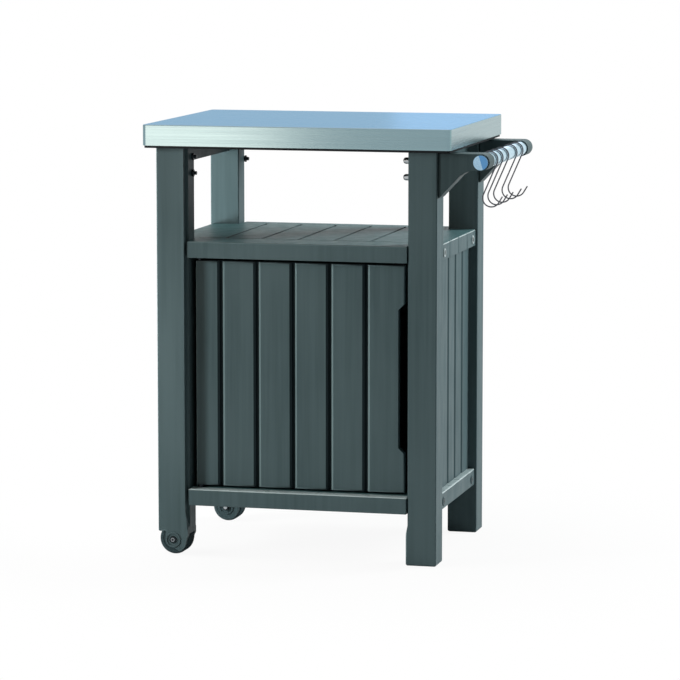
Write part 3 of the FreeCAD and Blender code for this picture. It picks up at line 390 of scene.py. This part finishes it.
def hinge_slope(face):
    """Whether a face of the door is on the slope of a groove that faces the hinge."""
    return face.normal.x < -0.25 and face.center.y < door_low.y + SLOPE_DEPTH


def in_groove(face):
    """Whether a face of the door is inside a groove, on its slopes, walls or floor."""
    return (door_low.y + GROOVE_START < face.center.y < door_low.y + GROOVE_DEPTH
            and door_low.x + SIDE_MARGIN < face.center.x < door_high.x - SIDE_MARGIN
            and door_low.z + END_MARGIN < face.center.z < door_high.z - END_MARGIN
            and abs(face.normal.z) < 0.5)


second_tone(finished("door"), painted_groove_shade,
            lambda face: in_groove(face) and not hinge_slope(face))
second_tone(finished("door"), lit_resin,
            lambda face: hinge_slope(face) and face.normal.y < -0.25)

# The grooves of the right wall, painted dark inside as painted shade as well
WALL_INSIDE, WALL_FACE, WALL_MARGIN = 0.0025, 0.0009, 0.016
wall_low, wall_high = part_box("side_panel_right")
second_tone(finished("side_panel_right"), wheel_and_painted_shade_resin,
            lambda face: wall_low.x + WALL_INSIDE < face.center.x < wall_high.x - WALL_FACE
            and wall_low.y + WALL_MARGIN < face.center.y < wall_high.y - WALL_MARGIN
            and wall_low.z + WALL_MARGIN < face.center.z < wall_high.z - WALL_MARGIN
            and abs(face.normal.z) < 0.5 and face.normal.x > -0.5)


# Forms for new pieces

SEAM = 0.000005


def facing(direction, place):
    """Turn a piece's own Z axis towards a direction and move it to its place."""
    turn = Vector(direction).to_track_quat("Z", "Y").to_matrix().to_4x4()
    return Matrix.Translation(place) @ turn


def close_seams(form):
    """Merge a form's doubled points and turn its faces outwards."""
    bmesh.ops.remove_doubles(form, verts=form.verts, dist=SEAM)
    bmesh.ops.recalc_face_normals(form, faces=form.faces)


def add(shape, form, matrix):
    """Put a finished form in its place and join it to the rest of a piece."""
    close_seams(form)
    bmesh.ops.transform(form, matrix=matrix, verts=form.verts)
    mesh = bpy.data.meshes.new("form")
    form.to_mesh(mesh)
    form.free()
    shape.from_mesh(mesh)
    bpy.data.meshes.remove(mesh)


def turn_profile(form, profile, steps):
    """Spin a profile of radii and heights once round the Z axis."""
    points = [form.verts.new((radius, 0, height)) for radius, height in profile]
    edges = [form.edges.new(pair) for pair in zip(points, points[1:])]
    bmesh.ops.spin(form, geom=points + edges, cent=(0, 0, 0), axis=(0, 0, 1), angle=math.tau,
                   steps=steps, use_merge=True)


def add_turned(shape, profile, matrix, steps=28):
    """A turned form, in its place."""
    form = bmesh.new()
    turn_profile(form, profile, steps)
    add(shape, form, matrix)


def add_hexagon(shape, radius, height, bore, matrix):
    """A hexagonal nut with eased rims and a hole."""
    form = bmesh.new()
    bmesh.ops.create_circle(form, segments=6, radius=radius)
    bmesh.ops.create_circle(form, segments=24, radius=bore)
    flat = bmesh.ops.bridge_loops(form, edges=form.edges)["faces"]
    top = bmesh.ops.extrude_face_region(form, geom=flat)["geom"]
    bmesh.ops.translate(form, vec=(0, 0, height),
                        verts=[item for item in top if isinstance(item, bmesh.types.BMVert)])
    corners = [edge for edge in form.edges
               if edge.calc_length() > radius * 0.6 and edge.is_manifold
               and edge.calc_face_angle(0) > math.radians(50)]
    bmesh.ops.bevel(form, geom=corners, offset=radius * 0.07, affect="EDGES", segments=2,
                    profile=0.5, material=-1)
    add(shape, form, matrix)


def add_socket_head(shape, radius, height, socket, depth, matrix):
    """A domed head with a hexagonal recess."""
    form = bmesh.new()
    rim = socket * 1.3
    turn_profile(form, ((radius, 0), (radius, height * 0.35), (radius * 0.93, height * 0.66),
                        (radius * 0.78, height * 0.9), (rim, height)), 28)
    bmesh.ops.create_circle(form, segments=6, radius=socket,
                            matrix=Matrix.Translation((0, 0, height)))
    lips = [edge for edge in form.edges
            if len(edge.link_faces) < 2 and edge.verts[0].co.z > height * 0.95]
    hexagon = [edge for edge in lips if not edge.link_faces]
    bmesh.ops.bridge_loops(form, edges=lips)
    walls = bmesh.ops.extrude_edge_only(form, edges=hexagon)["geom"]
    bmesh.ops.translate(form, vec=(0, 0, -depth),
                        verts=[item for item in walls if isinstance(item, bmesh.types.BMVert)])
    bmesh.ops.holes_fill(form, edges=[edge for edge in form.edges if edge.is_boundary], sides=0)
    add(shape, form, matrix)


def finish_piece(name, shape, node, material=None, angle=35):
    """Shade a new piece and let it stand for its CAD node."""
    piece = as_object(name, shape)
    shade(piece, angle)
    show(piece, node, material)
    return piece


# Bolts through the legs' tops: nuts with the bolts' ends on the left, cap nuts on the right
BOLT_RADIUS, NUT_RADIUS, NUT_HEIGHT, BOLT_END = 0.004, 0.0074, 0.0045, 0.010
HEAD_RADIUS, BOLT_INSET = 0.007, 0.011
bolts_low, bolts_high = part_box("bracket_bolts")
bolt_places = [(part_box(bracket)[1].y - BOLT_INSET, z)
               for bracket in ("rail_bracket_front", "rail_bracket_rear")
               for z in (bolts_high.z - HEAD_RADIUS, bolts_low.z + HEAD_RADIUS)]
left_leg, right_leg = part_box("leg_front_left")[1].x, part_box("leg_front_right")[0].x
CAP_NUT = ((0, 0), (0.0074, 0), (0.0074, 0.0014), (0.0066, 0.0020), (0.0066, 0.0115),
           (0.0060, 0.0138), (0.0044, 0.0158), (0.0022, 0.0168), (0, 0.0170))
THREAD_TURNS, THREAD_PITCH = 8, 0.0012
thread = [(0, 0), (BOLT_RADIUS, 0)]
for turn in range(THREAD_TURNS):
    thread += [(BOLT_RADIUS * 0.88, 0.0006 + turn * THREAD_PITCH),
               (BOLT_RADIUS, 0.0012 + turn * THREAD_PITCH)]
thread += [(BOLT_RADIUS * 0.7, BOLT_END), (0, BOLT_END)]
shape = bmesh.new()
for y, z in bolt_places:
    place = facing((1, 0, 0), (left_leg, y, z))
    add_hexagon(shape, NUT_RADIUS, NUT_HEIGHT, BOLT_RADIUS * 1.02, place)
    add_turned(shape, thread, place, 20)
finish_piece("leg_bolts_with_nuts", shape, "leg_bolts")
shape = bmesh.new()
for y, z in bolt_places:
    add_turned(shape, CAP_NUT, facing((-1, 0, 0), (right_leg, y, z)))
finish_piece("bracket_bolts_with_cap_nuts", shape, "bracket_bolts", zinc_and_painted_glint)

# Screws in the rings beside the legs, each with its recess and middle painted dark as painted
# shade
SCREW_RADIUS, SCREW_HEIGHT, SCREW_SOCKET, SCREW_DEPTH = 0.0055, 0.0025, 0.0024, 0.0018
SCREW_RECESS = 0.0036
for node in ("mid_shelf_screws", "base_shelf_screws"):
    low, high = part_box(node)
    height = middle_height(node)
    shape = bmesh.new()
    for y in screw_places:
        for side, x in ((-1, low.x + SCREW_HEIGHT), (1, high.x - SCREW_HEIGHT)):
            add_socket_head(shape, SCREW_RADIUS, SCREW_HEIGHT, SCREW_SOCKET, SCREW_DEPTH,
                            facing((side, 0, 0), (x, y, height)))
    screws = finish_piece(node + "_with_recess", shape, node, screw_grey)
    second_tone(screws, dark_metal_and_recess_shade, lambda face: min(
        math.hypot(face.center.y - y, face.center.z - height)
        for y in screw_places) < SCREW_RECESS)

# Caps in the rail's ends, each with two polished slopes, the one away from the worktop painted
# deeper and the other painted light, as painted reflection
CAP = ((0, -0.014), (0.0135, -0.014), (0.0135, 0), (0.015, 0), (0.015, 0.0056), (0, 0.0056))
RIDGE, SLOPE = math.radians(17), math.radians(7)
RIDGE_POINT = (0.001, 0, 0.005)
rail_place = joint_place["hook_1_swing"]
tube_low, tube_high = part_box("rail_tube")
for node, side, end in (("rail_cap_front", -1, tube_low.y), ("rail_cap_rear", 1, tube_high.y)):
    form = bmesh.new()
    turn_profile(form, CAP, 48)
    close_seams(form)
    for half in (-1, 1):
        slope = Vector((half * math.sin(SLOPE) * math.cos(RIDGE),
                        half * math.sin(SLOPE) * math.sin(RIDGE), math.cos(SLOPE)))
        bmesh.ops.bisect_plane(form, geom=form.verts[:] + form.edges[:] + form.faces[:],
                               plane_co=RIDGE_POINT, plane_no=slope, clear_outer=True)
        bmesh.ops.holes_fill(form, edges=[edge for edge in form.edges if edge.is_boundary],
                             sides=0)
    shape = bmesh.new()
    add(shape, form, facing((0, side, 0), (rail_place.x, end, rail_place.z)))
    cap = finish_piece(node + "_ridged", shape, node, angle=5)
    second_tone(cap, shaded_cap_tone,
                lambda face: side * face.normal.y > 0.9 and face.normal.x > 0.02)

# Wheels with a blocked tread, and the domed bolts they turn on
TREAD_RADIUS, TREAD_HALF = 0.0322, 0.0142
FACE = ((0.0042, 0.0172), (0.0085, 0.0172), (0.0092, 0.0178), (0.0118, 0.0178), (0.0125, 0.0170),
        (0.0240, 0.0170), (0.0250, 0.0178), (0.0282, 0.0180), (0.0308, 0.0170), (0.0325, 0.0142),
        (0.0325, 0.0071))
PROFILE = [(radius, -height) for radius, height in FACE] + [(0.0325, 0)] + list(reversed(FACE))
for node in ("wheel_front", "wheel_rear"):
    shape = bmesh.new()
    form = bmesh.new()
    turn_profile(form, PROFILE + PROFILE[:1], 64)
    close_seams(form)
    tread = [face for face in form.faces
             if math.hypot(*face.calc_center_median().xy) > TREAD_RADIUS
             and abs(face.calc_center_median().z) < TREAD_HALF]
    bmesh.ops.inset_individual(form, faces=tread, thickness=0.0005, depth=-0.0007)
    add(shape, form, facing((0, -1, 0), joint_place[node + "_spin"]))
    finish_piece(node + "_with_tread", shape, node, angle=30)

AXLE_SHANK = ((0, 0), (BOLT_RADIUS, 0), (BOLT_RADIUS, -0.0685), (0.0034, -0.0690), (0, -0.0690))
AXLE_RADIUS, AXLE_HEAD, AXLE_SOCKET, AXLE_DEPTH = 0.0075, 0.0035, 0.0030, 0.0008
PAINTED_GLINT_RADIUS = 0.0043
axle_place = joint_place["wheel_front_spin"]
for node, side, seat in (("wheel_axle_front", -1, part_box("wheel_axle_front")[0].y + AXLE_HEAD),
                         ("wheel_axle_rear", 1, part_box("wheel_axle_rear")[1].y - AXLE_HEAD)):
    shape = bmesh.new()
    place = facing((0, side, 0), (axle_place.x, seat, axle_place.z))
    add_socket_head(shape, AXLE_RADIUS, AXLE_HEAD, AXLE_SOCKET, AXLE_DEPTH, place)
    add_turned(shape, AXLE_SHANK, place, 20)
    axle = finish_piece(node + "_with_socket", shape, node)
    # The middle of each axle head is painted in the lighter zinc as a painted glint
    second_tone(axle, zinc_and_painted_glint, lambda face: math.hypot(
        face.center.x - axle_place.x, face.center.z - axle_place.z) < PAINTED_GLINT_RADIUS)

WHEEL_NUT, WHEEL_NUT_HEIGHT, WHEEL_NUT_BORE = 0.007, 0.00525, 0.0041
nuts_low, nuts_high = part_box("wheel_nuts")
shape = bmesh.new()
for side, seat in ((1, nuts_low.y), (-1, nuts_high.y)):
    add_hexagon(shape, WHEEL_NUT, WHEEL_NUT_HEIGHT, WHEEL_NUT_BORE,
                facing((0, side, 0), (axle_place.x, seat, axle_place.z)))
finish_piece("wheel_nuts_hexagonal", shape, "wheel_nuts")


# Floor, light and camera

GLOW_FROM, GLOW_TO = 0.35, 1.1
GLOW_NEAR, GLOW_FAR = 0.93, 1.0


def flat_square(name, half, place):
    """A level square for the floor."""
    shape = bmesh.new()
    bmesh.ops.create_grid(shape, x_segments=1, y_segments=1, size=half,
                          matrix=Matrix.Translation(place))
    return as_object(name, shape)


def seen_rays(tree):
    """One for rays from the camera and for mirrored and transmitted ones, or else zero."""
    path = tree.nodes.new("ShaderNodeLightPath")
    total = path.outputs["Is Camera Ray"]
    for kind in ("Is Glossy Ray", "Is Transmission Ray"):
        joined = tree.nodes.new("ShaderNodeMath")
        joined.operation = "ADD"
        joined.use_clamp = True
        tree.links.new(total, joined.inputs[0])
        tree.links.new(path.outputs[kind], joined.inputs[1])
        total = joined.outputs[0]
    return total


def mixed(tree, share, first, second, output):
    """Mix two shaders by a share and lead the result to the tree's output."""
    mix = tree.nodes.new("ShaderNodeMixShader")
    tree.links.new(share, mix.inputs[0])
    tree.links.new(first, mix.inputs[1])
    tree.links.new(second, mix.inputs[2])
    tree.links.new(mix.outputs[0], tree.nodes[output].inputs["Surface"])


def floor_finish():
    """White to the camera, and a little darker only where the cart's shadow falls."""
    material = bpy.data.materials.new("studio_floor")
    material.use_nodes = True
    tree = material.node_tree
    diffuse = tree.nodes["Principled BSDF"]
    diffuse.inputs["Base Color"].default_value = (0.50, 0.51, 0.51, 1.0)
    diffuse.inputs["Roughness"].default_value = 0.9
    diffuse.inputs["Specular IOR Level"].default_value = 0.0
    glow = tree.nodes.new("ShaderNodeEmission")
    place = tree.nodes.new("ShaderNodeTexCoord")
    distance = tree.nodes.new("ShaderNodeVectorMath")
    distance.operation = "LENGTH"
    tree.links.new(place.outputs["Object"], distance.inputs[0])
    clear = tree.nodes.new("ShaderNodeMapRange")
    clear.interpolation_type = "SMOOTHSTEP"
    for socket, value in (("From Min", GLOW_FROM), ("From Max", GLOW_TO), ("To Min", GLOW_NEAR),
                          ("To Max", GLOW_FAR)):
        clear.inputs[socket].default_value = value
    tree.links.new(distance.outputs["Value"], clear.inputs["Value"])
    share = tree.nodes.new("ShaderNodeMath")
    share.operation = "MULTIPLY"
    tree.links.new(clear.outputs["Result"], share.inputs[0])
    tree.links.new(seen_rays(tree), share.inputs[1])
    mixed(tree, share.outputs[0], diffuse.outputs[0], glow.outputs[0], "Material Output")
    return material


floor = flat_square("studio_floor", 60.0, (0, 0, -0.0005))
floor.data.materials.append(floor_finish())

# A faint air that lights the cart, and white for every ray that is seen
world = bpy.data.worlds.new("studio")
world.use_nodes = True
bpy.context.scene.world = world
tree = world.node_tree
air = tree.nodes["Background"]
air.inputs["Color"].default_value = (0.90, 0.95, 1.0, 1.0)
air.inputs["Strength"].default_value = 0.07
white = tree.nodes.new("ShaderNodeBackground")
white.inputs["Color"].default_value = (1, 1, 1, 1)
mixed(tree, seen_rays(tree), air.outputs[0], white.outputs[0], "World Output")


def soft_light(name, place, aim, width, height, power, colour=(1, 1, 1), mirrored=True):
    """A soft box of light that faces a point and isn't seen itself."""
    lamp = bpy.data.lights.new(name, "AREA")
    lamp.shape = "RECTANGLE"
    lamp.size = width
    lamp.size_y = height
    lamp.energy = power
    lamp.color = colour
    box = bpy.data.objects.new(name, lamp)
    box.location = place
    box.rotation_euler = (Vector(aim) - Vector(place)).to_track_quat("-Z", "Y").to_euler()
    box.visible_camera = False
    box.visible_glossy = mirrored
    bpy.context.scene.collection.objects.link(box)


soft_light("key_left", (-2.60, -2.00, 1.25), (-0.10, -0.10, 0.62), 0.45, 1.3, 84, mirrored=False)
soft_light("card_left", (-1.90, -0.80, 1.15), (-0.31, -0.05, 0.70), 1.2, 0.9, 11,
           (1.0, 0.76, 0.63), mirrored=False)
soft_light("low_left", (-0.95, -0.22, 0.48), (-0.31, 0.164, 0.76), 0.3, 0.3, 15, mirrored=False)
soft_light("strip_skirt", (-0.72, -1.45, 0.80), (-0.30, -0.26, 0.86), 0.62, 0.5, 3.0,
           (1.0, 0.74, 0.60))
soft_light("light_right", (2.30, 1.20, 1.60), (0.25, 0.0, 0.55), 1.0, 0.9, 110, mirrored=False)
soft_light("light_above", (-0.1, 0.3, 2.9), (0.0, 0.0, 0.6), 2.0, 1.6, 60, mirrored=False)
soft_light("behind_top", (-0.10, 2.60, 1.30), (0.10, 0.0, 0.90), 0.8, 0.4, 0.8,
           (0.62, 0.68, 0.88))

# The camera fitted to the photo
CAMERA_PLACE = (1.7947, -7.2224, 1.3827)
CAMERA_TILT, CAMERA_TURN = math.radians(90 - 7.275), math.radians(14.049)
camera = bpy.data.objects.new("camera", bpy.data.cameras.new("camera"))
camera.location = CAMERA_PLACE
camera.rotation_euler = (CAMERA_TILT, 0, CAMERA_TURN)
camera.data.sensor_width = 36
camera.data.lens = 187.47
bpy.context.scene.collection.objects.link(camera)
bpy.context.scene.camera = camera
bpy.context.scene.view_settings.view_transform = "Standard"

bpy.context.view_layer.update()
